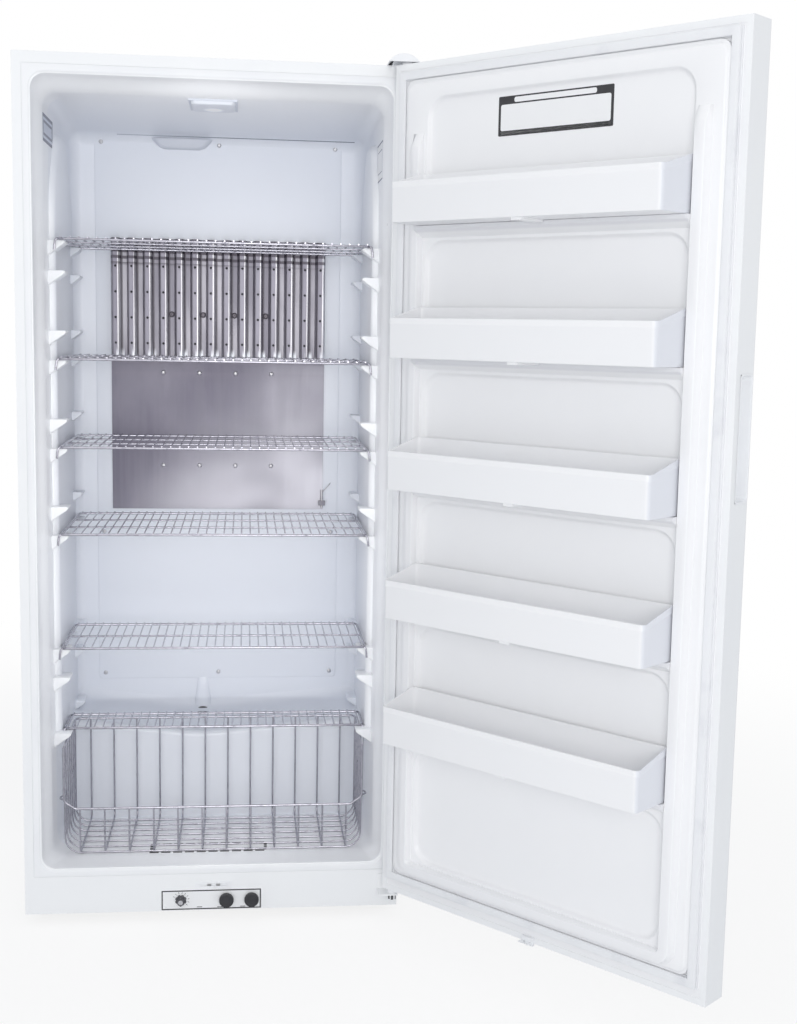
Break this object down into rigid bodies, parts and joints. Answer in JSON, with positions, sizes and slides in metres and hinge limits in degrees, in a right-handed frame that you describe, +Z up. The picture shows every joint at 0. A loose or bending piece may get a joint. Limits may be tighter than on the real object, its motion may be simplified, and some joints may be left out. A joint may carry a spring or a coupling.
{
  "type": "gas refrigerator",
  "caption": "Tall white upright gas refrigerator with one door, wire shelves, a wire basket, door bins and an absorption cooling unit at the back.",
  "frame": {"origin": "on the floor, at the base frame's lower face, under the plan centre of the cabinet", "axes": "+Z up, +Y to the back of the cabinet, +X to the right as seen from the front"},
  "size_m": [1.4082, 1.4533, 1.925],
  "materials": {
    "white_steel": "satin",
    "dark_steel": "satin",
    "zinc_steel": "satin",
    "screws": "satin",
    "foam": "matte",
    "white_liner": "satin",
    "white_plastic": "satin",
    "lens": "satin",
    "aluminium": "satin",
    "black_pipe": "satin",
    "copper": "satin",
    "brass": "satin",
    "black_plastic": "satin",
    "dark_plastic": "matte",
    "lead": "satin",
    "control_face": "satin",
    "gasket": "satin",
    "knob": "satin",
    "wire": "satin",
    "bin_plastic": "satin"
  },
  "bodies": {
    "cabinet": {"outer_shell": "white_steel", "base_frame": "dark_steel", "bottom_pan": "zinc_steel", "back_panel": "zinc_steel", "foam_body": "foam", "liner": "white_liner", "throat_frame": "white_plastic", "back_cover": "white_plastic", "interior_screws": "screws", "evaporator_plate": "aluminium", "evaporator_fins": "aluminium", "evaporator_pipes": "black_pipe", "capillary": "copper", "bulb_clip": "aluminium", "drain_tube": "dark_plastic", "drip_tray": "dark_plastic", "lamp_base": "white_plastic", "lamp_lens": "lens", "kick_panel": "white_steel", "control_plate": "control_face", "thermostat_body": "zinc_steel", "gas_valve": "brass", "piezo_igniter": "black_plastic", "gas_line": "copper", "gas_inlet": "brass", "top_hinge": "zinc_steel", "hinge_cover": "white_plastic", "bottom_hinge": "white_steel", "catch_keeper": "white_plastic", "unit_frame": "dark_steel", "condenser": "black_pipe", "rectifier": "black_pipe", "boiler_case": "zinc_steel", "flue": "dark_steel", "absorber": "black_pipe", "burner": "screws", "thermocouple": "copper", "electrode_lead": "lead"},
    "door": {"door_skin": "white_steel", "door_foam": "foam", "door_liner": "white_liner", "door_gasket": "gasket", "handle_cup": "white_plastic", "hinge_bushes": "white_plastic", "door_catch": "white_plastic"},
    "shelf_1_body": {"shelf_1": "wire"},
    "shelf_2_body": {"shelf_2": "wire"},
    "shelf_3_body": {"shelf_3": "wire"},
    "shelf_4_body": {"shelf_4": "wire"},
    "shelf_5_body": {"shelf_5": "wire"},
    "shelf_6_body": {"shelf_6": "wire"},
    "wire_basket_body": {"wire_basket": "wire"},
    "door_bin_1_body": {"door_bin_1": "bin_plastic"},
    "door_bin_2_body": {"door_bin_2": "bin_plastic"},
    "door_bin_3_body": {"door_bin_3": "bin_plastic"},
    "door_bin_4_body": {"door_bin_4": "bin_plastic"},
    "door_bin_5_body": {"door_bin_5": "bin_plastic"},
    "thermostat_knob_body": {"thermostat_knob": "knob"},
    "gas_button_body": {"gas_button": "black_plastic"},
    "igniter_button_body": {"igniter_button": "black_plastic"}
  },
  "joints": [
    {"name": "door_hinge", "type": "hinge", "parent": "cabinet", "child": "door", "pos_m": [0.4065, -0.351, 1], "axis": [0, 0, 1], "range_deg": [-131.5, 0]},
    {"name": "shelf_1_slide", "type": "slide", "parent": "cabinet", "child": "shelf_1_body", "axis": [0, -1, 0], "range_m": [0, 0.35]},
    {"name": "shelf_2_slide", "type": "slide", "parent": "cabinet", "child": "shelf_2_body", "axis": [0, -1, 0], "range_m": [0, 0.35]},
    {"name": "shelf_3_slide", "type": "slide", "parent": "cabinet", "child": "shelf_3_body", "axis": [0, -1, 0], "range_m": [0, 0.35]},
    {"name": "shelf_4_slide", "type": "slide", "parent": "cabinet", "child": "shelf_4_body", "axis": [0, -1, 0], "range_m": [0, 0.35]},
    {"name": "shelf_5_slide", "type": "slide", "parent": "cabinet", "child": "shelf_5_body", "axis": [0, -1, 0], "range_m": [0, 0.23]},
    {"name": "shelf_6_slide", "type": "slide", "parent": "cabinet", "child": "shelf_6_body", "axis": [0, -1, 0], "range_m": [0, 0.1]},
    {"name": "basket_slide", "type": "slide", "parent": "cabinet", "child": "wire_basket_body", "axis": [0, -1, 0], "range_m": [0, 0.24]},
    {"name": "door_bin_1_lift", "type": "slide", "parent": "door", "child": "door_bin_1_body", "axis": [0, 0, 1], "range_m": [0, 0.03]},
    {"name": "door_bin_2_lift", "type": "slide", "parent": "door", "child": "door_bin_2_body", "axis": [0, 0, 1], "range_m": [0, 0.03]},
    {"name": "door_bin_3_lift", "type": "slide", "parent": "door", "child": "door_bin_3_body", "axis": [0, 0, 1], "range_m": [0, 0.03]},
    {"name": "door_bin_4_lift", "type": "slide", "parent": "door", "child": "door_bin_4_body", "axis": [0, 0, 1], "range_m": [0, 0.03]},
    {"name": "door_bin_5_lift", "type": "slide", "parent": "door", "child": "door_bin_5_body", "axis": [0, 0, 1], "range_m": [0, 0.03]},
    {"name": "thermostat_turn", "type": "hinge", "parent": "cabinet", "child": "thermostat_knob_body", "pos_m": [-0.074, -0.33, 0.05], "axis": [0, 1, 0], "range_deg": [0, 270]},
    {"name": "gas_button_push", "type": "slide", "parent": "cabinet", "child": "gas_button_body", "axis": [0, 1, 0], "range_m": [0, 0.004], "stiffness_N_per_m": 600},
    {"name": "igniter_button_push", "type": "slide", "parent": "cabinet", "child": "igniter_button_body", "axis": [0, 1, 0], "range_m": [0, 0.004], "stiffness_N_per_m": 600}
  ]
}
